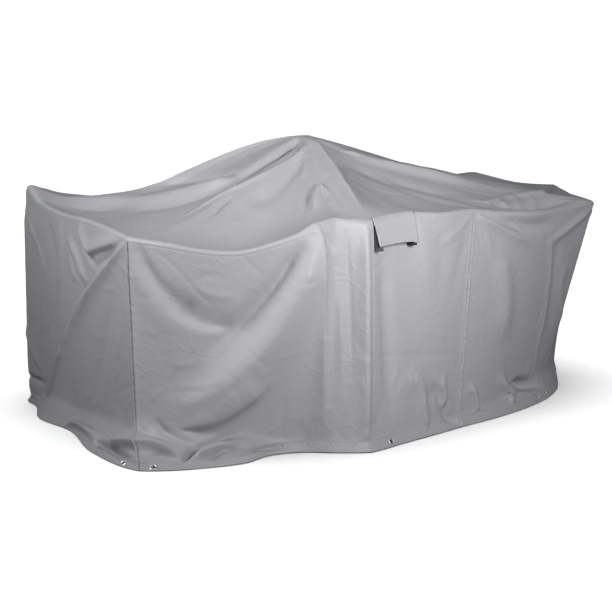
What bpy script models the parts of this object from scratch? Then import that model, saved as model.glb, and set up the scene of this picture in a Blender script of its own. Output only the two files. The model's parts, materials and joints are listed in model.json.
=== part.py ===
"""Patio furniture cover: a fitted cover of coated cloth, hanging hollow from a peak and a high rim.

The whole cover is one surface. A station s runs round it, one whole number to a section of SECTIONS, from the far
left corner along the left end, the front, the right end and the back. A level w runs down it: 0 at the peak, 1 at the
rim, 2 at the foot of the wall and 3 at the hem's edge on the floor. Each sewn piece is a patch of that surface.
Metres, +Z up, the floor at z = 0.
"""

import math

import bmesh
import bpy
import numpy as np
from mathutils import Matrix, Vector

# ---- sizes ----
THICKNESS = 0.002  # coated cloth with its seam allowance
GAP = 0.0003  # between sewn pieces
FLAT_CELL = 0.00002  # a mesh cell that is flat to within this stays one face
PEAK = (0.020, 0.072, 1.140)
PEAK_RADIUS = 0.030  # flat spot at the top
RIM_BAND = 0.020  # the top panel turns down over the rim by this much
HEM_DEPTH = 0.042
RIM_SOFTNESS = 0.022  # how far along w the rim is rounded, in parts of a level
FOOT_SOFTNESS = 0.10
FRONT_CELL = 0.060  # width of a mesh cell where the cover has its close folds
BACK_CELL = 0.086
WALL_ROWS = 12
TOP_LEVELS = (0.0, 0.09, 0.19, 0.30, 0.41, 0.52, 0.63, 0.74, 0.84, 0.92, 0.968, 1.0)

EYELET_CELL = 0.040  # flat length of hem round an eyelet
EYELET_HOLE = 0.0092  # radii
EYELET_NECK = 0.0088
EYELET_BORE = 0.0080
EYELET_FLANGE = 0.0150
EYELET_LIP = 0.0012  # thickness of each flange
EYELET_SIDES = 14

FLAP_LEVEL = 0.968  # the vent flap is sewn on just behind the rim
FLAP_DROP = 0.118  # and hangs this far below it
FLAP_ROWS = 5
FLAP_STAND_OFF = 0.036  # from the wall, at its open lower edge
PROP_SIZE = (0.024, 0.010)  # along the flap's edge, and up
PROP_CLEARANCE = 0.0008  # to the wall and to the flap

# ---- the sections, in order round the cover ----
# rim: top edge of the wall; foot: where the wall turns out; hem: edge on the floor; sag_high, sag_low: how far the
# top hangs below the straight line from the peak, at one and two thirds of it; crisp: 1 at a sharp corner.
COLUMNS = (
    "rim_x", "rim_y", "rim_z", "foot_x", "foot_y", "foot_z", "hem_x", "hem_y", "sag_high", "sag_low", "crisp",
)  # fmt: skip
SECTIONS = (
    ("far_left_corner", -1.055, 0.520, 0.944, -1.052, 0.530, 0.05, -1.062, 0.575, 0.040, 0.115, 0.9),
    ("left_shoulder", -1.050, 0.415, 0.893, -1.045, 0.440, 0.05, -1.070, 0.445, 0.045, 0.110, 0.3),
    ("left_dip", -1.035, 0.210, 0.865, -1.050, 0.230, 0.08, -1.135, 0.215, 0.050, 0.100, 0.0),
    ("left_middle", -1.010, -0.020, 0.862, -1.035, 0.020, 0.08, -1.100, -0.030, 0.050, 0.095, 0.0),
    ("left_near", -1.010, -0.290, 0.853, -1.025, -0.300, 0.10, -1.150, -0.430, 0.050, 0.090, 0.0),
    ("near_left_corner", -1.008, -0.470, 0.842, -1.020, -0.560, 0.12, -1.095, -0.775, 0.050, 0.080, 0.9),
    ("front_swag_start", -0.900, -0.605, 0.828, -0.905, -0.650, 0.12, -0.970, -0.830, 0.050, 0.080, 0.0),
    ("front_swag", -0.795, -0.670, 0.808, -0.790, -0.710, 0.10, -0.850, -0.850, 0.050, 0.085, 0.0),
    ("front_swag_low", -0.660, -0.730, 0.800, -0.660, -0.740, 0.09, -0.690, -0.850, 0.050, 0.085, 0.0),
    ("front_swag_rise", -0.520, -0.780, 0.835, -0.520, -0.755, 0.06, -0.550, -0.785, 0.050, 0.080, 0.0),
    ("front_swag_end", -0.390, -0.800, 0.875, -0.410, -0.780, 0.05, -0.430, -0.795, 0.040, 0.070, 0.0),
    ("front_peak", -0.275, -0.780, 0.905, -0.310, -0.840, 0.05, -0.310, -0.866, 0.030, 0.050, 0.8),
    ("front_ridge", -0.145, -0.810, 0.885, -0.190, -0.895, 0.05, -0.190, -0.920, 0.010, 0.010, 0.9),
    ("front_flap", 0.090, -0.720, 0.900, -0.010, -0.830, 0.05, -0.005, -0.852, 0.040, 0.050, 0.0),
    ("front_plain", 0.250, -0.700, 0.888, 0.190, -0.755, 0.05, 0.192, -0.778, 0.045, 0.060, 0.0),
    ("front_seam", 0.450, -0.630, 0.884, 0.345, -0.690, 0.05, 0.350, -0.715, 0.045, 0.060, 0.5),
    ("right_dip_start", 0.590, -0.600, 0.860, 0.530, -0.610, 0.06, 0.560, -0.640, 0.040, 0.040, 0.0),
    ("right_dip", 0.760, -0.560, 0.842, 0.740, -0.490, 0.08, 0.805, -0.525, 0.040, 0.030, 0.0),
    ("right_dip_rise", 0.960, -0.480, 0.838, 0.920, -0.385, 0.10, 0.965, -0.420, 0.040, 0.030, 0.0),
    ("near_right_corner", 1.195, -0.410, 0.850, 1.040, -0.290, 0.10, 1.110, -0.280, 0.040, 0.030, 0.9),
    ("right_end", 1.285, -0.120, 0.846, 1.250, -0.040, 0.08, 1.280, -0.020, 0.035, 0.045, 0.0),
    ("far_right_corner", 1.360, 0.140, 0.856, 1.355, 0.160, 0.06, 1.400, 0.190, 0.035, 0.060, 0.8),
    ("back_right_dip", 1.300, 0.380, 0.850, 1.305, 0.390, 0.05, 1.335, 0.420, 0.045, 0.065, 0.0),
    ("back_right_corner", 1.190, 0.550, 0.885, 1.195, 0.565, 0.05, 1.215, 0.600, 0.040, 0.070, 0.8),
    ("back_dip_right", 0.850, 0.690, 0.850, 0.850, 0.700, 0.05, 0.860, 0.730, 0.040, 0.070, 0.0),
    ("back_high_right", 0.400, 0.840, 0.875, 0.400, 0.850, 0.05, 0.400, 0.880, 0.040, 0.060, 0.6),
    ("back_dip", 0.000, 0.830, 0.845, 0.000, 0.840, 0.05, 0.000, 0.870, 0.040, 0.060, 0.0),
    ("back_high_left", -0.380, 0.800, 0.865, -0.380, 0.810, 0.05, -0.380, 0.840, 0.035, 0.060, 0.6),
    ("back_dip_left", -0.610, 0.715, 0.860, -0.620, 0.730, 0.05, -0.625, 0.760, 0.035, 0.080, 0.0),
    ("back_left_rise", -0.880, 0.620, 0.895, -0.885, 0.635, 0.05, -0.890, 0.665, 0.045, 0.110, 0.0),
)

# ---- the folds: a soft ridge (height above 0) or trough along a line of three points, each a station and a level ----
# name, s and w at the start, the middle and the end, half width, height, edge (0 rounded, 1 a crease)
FOLDS = (
    ("left_end_hollow", 0.5, 1.15, 0.6, 1.50, 0.7, 1.90, 0.092, -0.038, 0.0),
    ("left_end_ridge", 2.2, 1.25, 2.2, 1.60, 1.2, 2.12, 0.046, 0.046, 0.5),
    ("left_rim_swell", 2.7, 1.03, 3.1, 1.07, 3.5, 1.04, 0.069, 0.042, 0.0),
    ("left_rim_hollow", 2.6, 1.22, 3.3, 1.24, 4.0, 1.16, 0.063, -0.042, 0.0),
    ("near_left_fold", 4.9, 1.04, 3.6, 1.29, 2.7, 1.62, 0.040, 0.046, 0.4),
    ("near_left_hollow", 4.4, 1.30, 4.3, 1.60, 4.2, 1.90, 0.103, -0.034, 0.0),
    ("swag_trough", 5.2, 1.04, 5.8, 1.22, 6.3, 1.45, 0.052, -0.038, 0.2),
    ("swag_ridge", 5.4, 1.05, 6.2, 1.20, 7.0, 1.43, 0.046, 0.023, 0.0),
    ("swag_trough_long", 5.7, 1.05, 6.6, 1.18, 8.2, 1.43, 0.052, -0.030, 0.2),
    ("front_belly", 9.2, 1.20, 8.0, 1.42, 6.8, 1.66, 0.103, -0.038, 0.0),
    ("long_sweep", 10.3, 1.06, 8.6, 1.46, 5.9, 1.97, 0.086, 0.065, 0.2),
    ("front_peak_edge", 11.0, 1.03, 10.6, 1.18, 10.7, 1.80, 0.040, 0.034, 0.4),
    ("front_ridge_line", 12.0, 1.04, 12.0, 1.45, 12.0, 1.95, 0.040, 0.030, 0.6),
    ("beside_the_ridge", 12.7, 1.30, 12.6, 1.60, 12.5, 1.95, 0.069, -0.023, 0.0),
    ("seam_pull", 15.0, 1.04, 15.0, 1.50, 15.0, 2.20, 0.040, 0.015, 0.3),
    ("right_rim_swell", 16.0, 1.05, 17.4, 1.09, 18.8, 1.05, 0.057, 0.034, 0.0),
    ("right_rim_hollow", 16.1, 1.17, 17.3, 1.22, 18.6, 1.18, 0.063, -0.034, 0.0),
    ("right_crease", 17.7, 1.15, 17.6, 1.55, 17.3, 2.30, 0.040, 0.023, 0.6),
    ("right_foot_hollow", 16.9, 2.02, 17.8, 2.08, 18.4, 2.30, 0.057, -0.053, 0.0),
    ("right_end_fold", 20.0, 1.10, 20.2, 1.50, 20.4, 2.00, 0.069, -0.042, 0.0),
    ("corner_puff", 5.2, 2.25, 5.8, 2.30, 6.3, 2.35, 0.052, 0.034, 0.0),
    ("puff_line", 6.1, 2.60, 6.8, 2.40, 8.0, 2.15, 0.045, -0.030, 0.2),
    ("left_hem_hollow", 3.9, 2.50, 4.4, 2.50, 4.9, 2.50, 0.045, -0.030, 0.2),
    ("back_fall_right", 24.3, 1.08, 24.4, 1.50, 24.2, 1.95, 0.092, -0.057, 0.0),
    ("back_fall_middle", 26.2, 1.08, 26.0, 1.50, 26.2, 1.95, 0.092, -0.049, 0.0),
    ("back_drape", 27.0, 1.05, 26.6, 1.30, 25.9, 1.70, 0.057, 0.034, 0.2),
    ("back_fall_left", 28.4, 1.10, 28.3, 1.50, 28.5, 1.95, 0.092, -0.046, 0.0),
    ("top_dark_crease", 6.3, 0.06, 3.7, 0.34, 4.1, 0.75, 0.045, -0.026, 0.3),
    ("top_thin_ridge", 9.9, 0.09, 6.4, 0.20, 4.3, 0.68, 0.030, 0.016, 0.4),
    ("top_left_crease", 3.3, 0.33, 1.2, 0.48, -1.0, 0.80, 0.045, -0.018, 0.3),
    ("top_bump", 10.6, 0.44, 10.0, 0.53, 9.5, 0.64, 0.045, 0.026, 0.2),
    ("near_right_ridge", 11.6, 0.04, 12.1, 0.48, 12.1, 0.92, 0.040, 0.018, 0.4),
    ("right_top_hollow", 16.6, 0.94, 18.3, 0.89, 20.0, 0.91, 0.070, -0.058, 0.0),
    ("right_top_ridge", 20.9, 0.97, 17.6, 0.79, 15.4, 0.93, 0.045, 0.026, 0.3),
    ("far_right_ridge", 20.9, 0.40, 20.2, 0.68, 20.9, 0.95, 0.045, 0.018, 0.3),
)

SEAMS = ("near_left_corner", "front_seam", "back_right_corner", "back_left_rise")
WALL_NAMES = ("left_end", "front", "right_end", "back")
# stations of the eyelets, at the middle of the hem's depth
EYELETS = (0.06, 4.72, 5.40, 12.68, 17.55, 18.20, 21.90, 23.30, 26.50, 29.20)
FLAP_STATIONS = (12.12, 13.15)

SECTION_COUNT = len(SECTIONS)
SECTION_NAMES = [row[0] for row in SECTIONS]
TABLE = {name: np.array([row[k + 1] for row in SECTIONS]) for k, name in enumerate(COLUMNS)}


# ---- the surface ----
def station(name):
    return float(SECTION_NAMES.index(name))


def columns_of(*names):
    return np.stack([TABLE[name] for name in names], axis=-1)


def unit(vectors):
    return vectors / (np.linalg.norm(vectors, axis=-1, keepdims=True) + 1e-12)


def around(points, crisp, s):
    """Closed curve through one point a section: cubic Hermite, its tangents turned to the chords where crisp is 1."""
    i = np.floor(s).astype(int) % SECTION_COUNT
    j = (i + 1) % SECTION_COUNT
    f = (s - np.floor(s))[..., None]
    ahead = np.roll(points, -1, axis=0) - points
    behind = points - np.roll(points, 1, axis=0)
    step_ahead = np.linalg.norm(ahead, axis=1, keepdims=True)
    step_behind = np.linalg.norm(behind, axis=1, keepdims=True)
    slope = (step_ahead * behind / step_behind + step_behind * ahead / step_ahead) / (step_ahead + step_behind)
    chord = points[j] - points[i]
    start = (1 - crisp[i][..., None]) * slope[i] * step_ahead[i] + crisp[i][..., None] * chord
    end = (1 - crisp[j][..., None]) * slope[j] * step_ahead[i] + crisp[j][..., None] * chord
    return (
        (2 * f**3 - 3 * f**2 + 1) * points[i]
        + (f**3 - 2 * f**2 + f) * start
        + (3 * f**2 - 2 * f**3) * points[j]
        + (f**3 - f**2) * end
    )


def eased(values, s):
    """One number a section, eased from each section to the next."""
    i = np.floor(s).astype(int) % SECTION_COUNT
    f = s - np.floor(s)
    f = f * f * (3 - 2 * f)
    return values[i] * (1 - f) + values[(i + 1) % SECTION_COUNT] * f


def guides(s):
    crisp = TABLE["crisp"]
    rim = around(columns_of("rim_x", "rim_y", "rim_z"), crisp, s)
    foot = around(columns_of("foot_x", "foot_y", "foot_z"), crisp, s)
    hem = around(columns_of("hem_x", "hem_y"), 0.5 * crisp, s)
    return rim, foot, hem, eased(TABLE["sag_high"], s), eased(TABLE["sag_low"], s)


def profile(lines, w):
    """The hanging line of one station: sagging from the peak to the rim, straight to the foot, then out to the hem."""
    rim, foot, hem, sag_high, sag_low = lines
    outward = unit(rim[..., :2] - np.array(PEAK[:2]))
    start = np.concatenate([PEAK[:2] + PEAK_RADIUS * outward, np.full(w.shape + (1,), PEAK[2])], axis=-1)
    r = np.clip(w, 0, 1)
    top = start + (rim - start) * r[..., None]
    top[..., 2] -= 13.5 * r * (1 - r) * ((2 / 3 - r) * sag_high + (r - 1 / 3) * sag_low)
    wall = rim + (foot - rim) * np.clip(w - 1, 0, 1)[..., None]
    out = np.clip(w - 2, 0, 1)[..., None]
    run = np.concatenate([foot[..., :2] + (hem - foot[..., :2]) * out, foot[..., 2:] * (1 - out)], axis=-1)
    return np.where((w <= 1)[..., None], top, np.where((w <= 2)[..., None], wall, run))


def resting(s, w):
    """The profile with its corners rounded: the mean of five levels close together."""
    lines = guides(s)
    reach = np.interp(
        w,
        (0, 0.05, 0.9, 1.1, 1.5, 1.9, 2.0, 2.4, 3.0),
        (0, 0.01, RIM_SOFTNESS, RIM_SOFTNESS, 0.03, FOOT_SOFTNESS, FOOT_SOFTNESS, FOOT_SOFTNESS, 0),
    )
    return sum(profile(lines, w + k * reach / 2) for k in (-2, -1, 0, 1, 2)) / 5


def normals_of(surface, s, w):
    """Outward unit normals of a surface(s, w), from differences about as wide as a hand."""
    low = np.clip(w - 0.02, 0, 3)
    high = np.clip(w + 0.02, 0, 3)
    down = surface(s, high) - surface(s, low)
    along = surface(s + 0.1, w) - surface(s - 0.1, w)
    return unit(np.cross(down, along))


def fold_line(fold, steps=12):
    """Points along a fold's line, on the resting surface, and how far along it each is."""
    t = np.linspace(0, 1, steps)
    s0, w0, s1, w1, s2, w2 = fold[1:7]
    s = (1 - t) * (1 - 2 * t) * s0 + 4 * t * (1 - t) * s1 + t * (2 * t - 1) * s2
    w = (1 - t) * (1 - 2 * t) * w0 + 4 * t * (1 - t) * w1 + t * (2 * t - 1) * w2
    return resting(s, w), t


def fold_height(fold, points):
    """How far a fold lifts each point: its cross section at the point's distance, eased in and out along its line."""
    line, t = fold_line(fold)
    width, height, edge = fold[7:10]
    nearest = np.full(points.shape[:-1], 1e9)
    place = np.zeros(points.shape[:-1])
    for k in range(len(line) - 1):
        step = line[k + 1] - line[k]
        f = np.clip(((points - line[k]) @ step) / (step @ step), 0, 1)
        distance = np.linalg.norm(points - line[k] - f[..., None] * step, axis=-1)
        closer = distance < nearest
        nearest = np.where(closer, distance, nearest)
        place = np.where(closer, t[k] + f * (t[k + 1] - t[k]), place)
    reach = nearest / width
    across = (1 - edge) * np.exp(-(reach**2)) + edge * np.exp(-1.4 * reach)
    fade_in = np.clip(place / 0.15, 0, 1)
    fade_out = np.clip((1 - place) / 0.35, 0, 1)
    return height * across * (0.4 + 0.6 * fade_in) * fade_out * fade_out * (3 - 2 * fade_out)


def cloth(s, w):
    """The hanging cloth's outer face: the resting surface moved along its normals by the folds."""
    points = resting(s, w)
    lift = sum(fold_height(fold, points) for fold in FOLDS)
    settle = np.clip((3 - w) / 0.7, 0, 1) * np.clip(w / 0.05, 0, 1)
    return points + (lift * settle)[..., None] * normals_of(resting, s, w)


# ---- where the mesh lines run ----
def level_at(s, below_rim=None, above_hem=None):
    """The level w that lies a length below the rim or above the hem's edge, measured down each station's cloth."""
    levels = np.linspace(1, 3, 201)
    grid_s, grid_w = np.meshgrid(s, levels)
    points = resting(grid_s, grid_w)
    steps = np.linalg.norm(np.diff(points, axis=0), axis=-1)
    length = np.vstack([np.zeros((1, len(s))), np.cumsum(steps, axis=0)])
    wanted = below_rim if below_rim is not None else length[-1] - above_hem
    wanted = np.broadcast_to(wanted, (len(s),))
    return np.array([np.interp(wanted[k], length[:, k], levels) for k in range(len(s))])


def hem_lengths(s):
    """Length round the hem from station 0 to each of the stations s."""
    points = resting(s, np.full(s.shape, 2.8))
    return np.concatenate([[0], np.cumsum(np.linalg.norm(np.diff(points, axis=0), axis=-1))])


def eyelet_edges():
    """The two stations that bound the flat length of hem round each eyelet."""
    s = np.linspace(-1, SECTION_COUNT, 6001)
    length = hem_lengths(s)
    middle = np.interp(EYELETS, s, length)
    return [tuple(np.interp((m - EYELET_CELL / 2, m + EYELET_CELL / 2), length, s)) for m in middle]


def mesh_stations():
    """Stations of the mesh's vertical lines, with one at each seam, sharp corner, eyelet cell and flap edge."""
    fixed = {station(name) for name, crisp in zip(SECTION_NAMES, TABLE["crisp"]) if crisp >= 0.5}
    fixed |= {station(name) for name in SEAMS}
    cells = eyelet_edges()
    fixed = {s for s in fixed if not any(a - 0.02 < s < b + 0.02 for a, b in cells)}
    fixed |= {s for cell in cells for s in cell}
    fixed |= set(FLAP_STATIONS)
    fixed = sorted(fixed)
    fine = np.linspace(-1, SECTION_COUNT + 1, 8001)
    length = hem_lengths(fine)
    stations = []
    for a, b in zip(fixed, fixed[1:] + [fixed[0] + SECTION_COUNT]):
        cell = FRONT_CELL if b <= station("far_right_corner") + 0.5 or a >= station("back_left_rise") else BACK_CELL
        ends = np.interp((a, b), fine, length)
        parts = max(1, math.ceil((ends[1] - ends[0]) / cell - 0.25))
        stations.extend(np.interp(np.linspace(ends[0], ends[1], parts + 1)[:-1], length, fine))
    return np.array(stations)


def patch_stations(stations, start, end):
    """The mesh stations from start to end, counted on past the last section where the patch crosses station 0."""
    end = end if end > start else end + SECTION_COUNT
    turns = np.concatenate([stations - SECTION_COUNT, stations, stations + SECTION_COUNT])
    return turns[(turns > start - 1e-6) & (turns < end + 1e-6)]


# ---- solids ----
def trim(grid, axis, index, neighbour):
    """Draws one edge line of a grid of points back by half the gap, towards the line next to it."""
    lines = np.moveaxis(grid, axis, 0)
    lines[index] += GAP / 2 * unit(lines[neighbour] - lines[index])


def patch(s, w, trimmed):
    """Outer and inner points of a sewn piece over the stations s and the levels w, its trimmed edges drawn back."""
    grid_s = np.broadcast_to(s, w.shape)
    outer = cloth(grid_s, w)
    inner = outer - THICKNESS * normals_of(cloth, grid_s, w)
    for grid in (outer, inner):
        if "top" in trimmed:
            trim(grid, 0, 0, 1)
        if "bottom" in trimmed:
            trim(grid, 0, -1, -2)
        if "ends" in trimmed:
            trim(grid, 1, 0, 1)
            trim(grid, 1, -1, -2)
    return outer, inner


def new_object(name, mesh, collection, material):
    shape = bpy.data.objects.new(name, mesh)
    collection.objects.link(shape)
    mesh.materials.append(material)
    mesh.shade_smooth()
    mesh.set_sharp_from_angle(angle=math.radians(50))
    return shape


def cell_splits(grid):
    """For each cell of a grid of points: 0 where it is flat, else 1 or 2 for the shorter of its two diagonals."""
    after = np.roll(grid, -1, axis=1)
    first = after[1:] - grid[:-1]
    second = after[:-1] - grid[1:]
    warp = np.abs(((grid[1:] - grid[:-1]) * unit(np.cross(first, second))).sum(axis=-1))
    shorter = np.where(np.linalg.norm(first, axis=-1) < np.linalg.norm(second, axis=-1), 1, 2)
    return np.where(warp < FLAT_CELL, 0, shorter)


def sheet(name, outer, inner, collection, material, ring=False):
    """A thin closed solid between two grids of points; a ring closes on itself and has a pole in place of row 0.

    Both sides of a cell are split along the same diagonal, so that they stay the same distance apart.
    """
    rows, columns = outer.shape[:2]
    splits = cell_splits(outer)
    shape = bmesh.new()
    faces_of = []
    for grid in (outer, inner):
        lines = [[shape.verts.new(point) for point in row] for row in grid]
        if ring:
            pole = shape.verts.new(grid[0].mean(axis=0))
            lines = [[pole] * columns] + lines[1:]
        faces_of.append(lines)
    across = columns if ring else columns - 1
    for lines, turned in ((faces_of[0], False), (faces_of[1], True)):
        for i in range(rows - 1):
            for j in range(across):
                k = (j + 1) % columns
                corners = [lines[i][j], lines[i + 1][j], lines[i + 1][k], lines[i][k]]
                corners = list(dict.fromkeys(corners))
                if len(corners) == 3 or splits[i, j] == 0:
                    faces = [corners]
                elif splits[i, j] == 1:
                    faces = [corners[:3], [corners[2], corners[3], corners[0]]]
                else:
                    faces = [corners[1:], [corners[3], corners[0], corners[1]]]
                for face in faces:
                    shape.faces.new(face[::-1] if turned else face)
    outer_lines, inner_lines = faces_of
    border = [(rows - 1, j) for j in range(columns)] + ([(rows - 1, 0)] if ring else [])
    if not ring:
        border += [(i, columns - 1) for i in range(rows - 2, -1, -1)]
        border += [(0, j) for j in range(columns - 2, -1, -1)]
        border += [(i, 0) for i in range(1, rows)]
    for (i, j), (k, m) in zip(border, border[1:]):
        shape.faces.new((outer_lines[i][j], inner_lines[i][j], inner_lines[k][m], outer_lines[k][m]))
    loose = [vert for vert in shape.verts if not vert.link_faces]
    bmesh.ops.delete(shape, geom=loose, context="VERTS")
    mesh = bpy.data.meshes.new(name)
    shape.to_mesh(mesh)
    shape.free()
    return new_object(name, mesh, collection, material)


def eyelet_plane(outer, s, cell):
    """Middle and outward normal of the flat hem cell between two stations; its lower corners are set on the plane."""
    j = int(np.argmin(np.abs(s - cell[0])))
    left_top, right_top = outer[0, j], outer[0, j + 1]
    foot = (outer[1, j] + outer[1, j + 1]) / 2
    normal = unit(np.cross(foot - left_top, right_top - left_top))
    for k in (j, j + 1):
        outer[1, k] -= ((outer[1, k] - left_top) @ normal) * normal
    middle = (left_top + right_top + outer[1, j] + outer[1, j + 1]) / 4
    return j, middle, normal


def facing(middle, normal):
    """Matrix that stands a shape turned about Z on the plane at middle, with +Z along the normal."""
    return Matrix.Translation(middle) @ Vector(normal).to_track_quat("Z", "Y").to_matrix().to_4x4()


def eyelet(name, collection, material, matrix):
    """A two-sided eyelet: a neck through the hem and a rounded flange on each face, one profile turned about Z."""
    half = THICKNESS / 2 + GAP
    face = half + EYELET_LIP
    profile_points = (
        (EYELET_BORE, 0, face - 0.0008),
        (EYELET_BORE + 0.0012, 0, face),
        (EYELET_FLANGE - 0.0008, 0, face - 0.0002),
        (EYELET_FLANGE, 0, half),
        (EYELET_NECK, 0, half),
        (EYELET_NECK, 0, -half),
        (EYELET_FLANGE, 0, -half),
        (EYELET_FLANGE - 0.0008, 0, -face + 0.0002),
        (EYELET_BORE + 0.0012, 0, -face),
        (EYELET_BORE, 0, -face + 0.0008),
    )
    count = len(profile_points)
    mesh = bpy.data.meshes.new(name)
    mesh.from_pydata(profile_points, [(k, (k + 1) % count) for k in range(count)], [])
    ring = new_object(name, mesh, collection, material)
    turn = ring.modifiers.new("turned about Z", "SCREW")
    turn.steps = EYELET_SIDES
    turn.render_steps = EYELET_SIDES
    turn.use_merge_vertices = True
    turn.merge_threshold = 0.00001
    ring.matrix_world = matrix
    return ring


def hole_cutter(name, collection, matrix):
    bpy.ops.mesh.primitive_cylinder_add(vertices=EYELET_SIDES, radius=EYELET_HOLE, depth=10 * THICKNESS)
    cutter = bpy.context.object
    cutter.name = name
    for owner in list(cutter.users_collection):
        owner.objects.unlink(cutter)
    collection.objects.link(cutter)
    cutter.matrix_world = matrix
    cutter.hide_render = True
    cutter.display_type = "WIRE"
    return cutter


def cut_through(shape, cutter):
    cut = shape.modifiers.new(cutter.name, "BOOLEAN")
    cut.operation = "DIFFERENCE"
    cut.object = cutter
    cut.solver = "EXACT"


# ---- materials ----
def material(name, colour, roughness, metallic=0.0):
    made = bpy.data.materials.new(name)
    made.use_nodes = True
    shader = made.node_tree.nodes["Principled BSDF"]
    shader.inputs["Base Color"].default_value = (*colour, 1.0)
    shader.inputs["Roughness"].default_value = roughness
    shader.inputs["Metallic"].default_value = metallic
    return made


def cloth_material(name):
    return material(name, (0.36, 0.36, 0.38), 0.55)


def eyelet_material(name):
    return material(name, (0.80, 0.80, 0.78), 0.25, 1.0)


def mesh_material(name):
    return material(name, (0.10, 0.10, 0.11), 0.70)


def prop_material(name):
    return material(name, (0.02, 0.02, 0.02), 0.50)


# ---- the pieces ----
def new_collection(name):
    made = bpy.data.collections.new(name)
    bpy.context.scene.collection.children.link(made)
    return made


def top_panel(collection, stations):
    """The roof of the cover, from the peak over the rim to the seam just under it."""
    levels = np.repeat(np.array(TOP_LEVELS)[:, None], len(stations), axis=1)
    levels = np.vstack([levels, level_at(stations, below_rim=RIM_BAND)])
    outer, inner = patch(stations, levels, ("bottom",))
    return sheet("top_panel", outer, inner, collection, cloth_material("top_cloth"), ring=True)


def wall_panel(name, collection, stations, start, end):
    """One length of side wall between two upright seams, from the rim's seam to the hem's stitched line."""
    s = patch_stations(stations, start, end)
    high = level_at(s, below_rim=RIM_BAND)
    low = level_at(s, above_hem=HEM_DEPTH)
    levels = high + (low - high) * np.linspace(0, 1, WALL_ROWS + 1)[:, None]
    outer, inner = patch(s, levels, ("top", "bottom", "ends"))
    return sheet("wall_" + name, outer, inner, collection, cloth_material("wall_cloth_" + name))


def hem_strip(name, collection, cutters, stations, start, end, cells):
    """The folded hem of one wall, with a hole for each of its eyelets, and the frames that the eyelets sit in."""
    s = patch_stations(stations, start, end)
    levels = np.vstack([level_at(s, above_hem=HEM_DEPTH), np.full(len(s), 3.0)])
    outer, inner = patch(s, levels, ("top", "ends"))
    frames = []
    for number, cell in cells:
        shift = SECTION_COUNT if cell[0] < s[0] - 0.001 else 0
        j, middle, normal = eyelet_plane(outer, s, (cell[0] + shift, cell[1] + shift))
        inner[1, j : j + 2] = outer[1, j : j + 2] - THICKNESS * normal
        frames.append((number, facing(middle - THICKNESS / 2 * normal, normal)))
    strip = sheet("hem_" + name, outer, inner, collection, cloth_material("hem_cloth_" + name))
    for number, frame in frames:
        cut_through(strip, hole_cutter(f"eyelet_hole_{number:02d}", cutters, frame))
    return frames


def flap_columns(stations):
    s = patch_stations(stations, *FLAP_STATIONS)
    hang = [level_at(s, below_rim=FLAP_DROP * k / FLAP_ROWS) for k in range(1, FLAP_ROWS + 1)]
    levels = np.vstack([np.full(len(s), FLAP_LEVEL), np.full(len(s), 1.0), *hang])
    stand_off = np.concatenate([[GAP], np.linspace(0.004, FLAP_STAND_OFF, FLAP_ROWS + 1)])
    grid_s = np.broadcast_to(s, levels.shape)
    return cloth(grid_s, levels), normals_of(cloth, grid_s, levels), stand_off


def vent_flap(collection, stations):
    """The hood over the vent: sewn on behind the rim, standing off the wall at its open lower edge."""
    base, normals, stand_off = flap_columns(stations)
    inner = base + stand_off[:, None, None] * normals
    outer = inner + THICKNESS * normals
    return sheet("vent_flap", outer, inner, collection, cloth_material("flap_cloth"))


def vent_gusset(collection, stations):
    """The three-cornered side of the hood, at its left, between the wall and the flap."""
    base, normals, stand_off = flap_columns(stations)
    along = unit(base[2:, 1] - base[2:, 0])
    wall_side = base[2:, 0] + 0.0008 * normals[2:, 0] + 0.004 * along
    flap_side = base[2:, 0] + (stand_off[2:, None] - 0.0008) * normals[2:, 0] + 0.004 * along
    near = np.stack([wall_side, flap_side], axis=1)
    far = near + 0.0015 * along[:, None]
    return sheet("vent_gusset", near, far, collection, mesh_material("gusset_cloth"))


def vent_prop(collection, stations):
    """The small block that holds the hood open, near the right end of its lower edge."""
    base, normals, stand_off = flap_columns(stations)
    along = unit(base[-1, -1] - base[-1, -2])
    depth = stand_off[-1] - 2 * PROP_CLEARANCE
    middle = base[-1, -2] * 0.6 + base[-1, -1] * 0.4 + stand_off[-1] / 2 * normals[-1, -2]
    middle[2] -= 0.4 * PROP_SIZE[1]
    bpy.ops.mesh.primitive_cube_add(size=1)
    prop = bpy.context.object
    prop.name = "vent_prop"
    for owner in list(prop.users_collection):
        owner.objects.unlink(prop)
    collection.objects.link(prop)
    prop.data.transform(Matrix.Diagonal((PROP_SIZE[0], depth, PROP_SIZE[1], 1.0)))
    out = Vector(normals[-1, -2])
    side = Vector(along)
    up = side.cross(out).normalized()
    side = out.cross(up)
    turn = Matrix((side, out, up)).transposed().to_4x4()
    prop.matrix_world = Matrix.Translation(middle) @ turn
    prop.data.materials.append(prop_material("prop_plastic"))
    bevel = prop.modifiers.new("rounded edges", "BEVEL")
    bevel.width = 0.0012
    bevel.segments = 2
    return prop


def centre_on_floor(collections):
    """Moves everything so that the floor point under the middle of the cover's box is the origin."""
    bpy.context.view_layer.update()
    corners = []
    for shape in collections[0].objects:
        corners += [shape.matrix_world @ vert.co for vert in shape.data.vertices]
    low = [min(corner[k] for corner in corners) for k in range(3)]
    high = [max(corner[k] for corner in corners) for k in range(3)]
    shift = Matrix.Translation((-(low[0] + high[0]) / 2, -(low[1] + high[1]) / 2, -low[2]))
    for collection in collections:
        for shape in collection.objects:
            shape.matrix_world = shift @ shape.matrix_world


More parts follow.
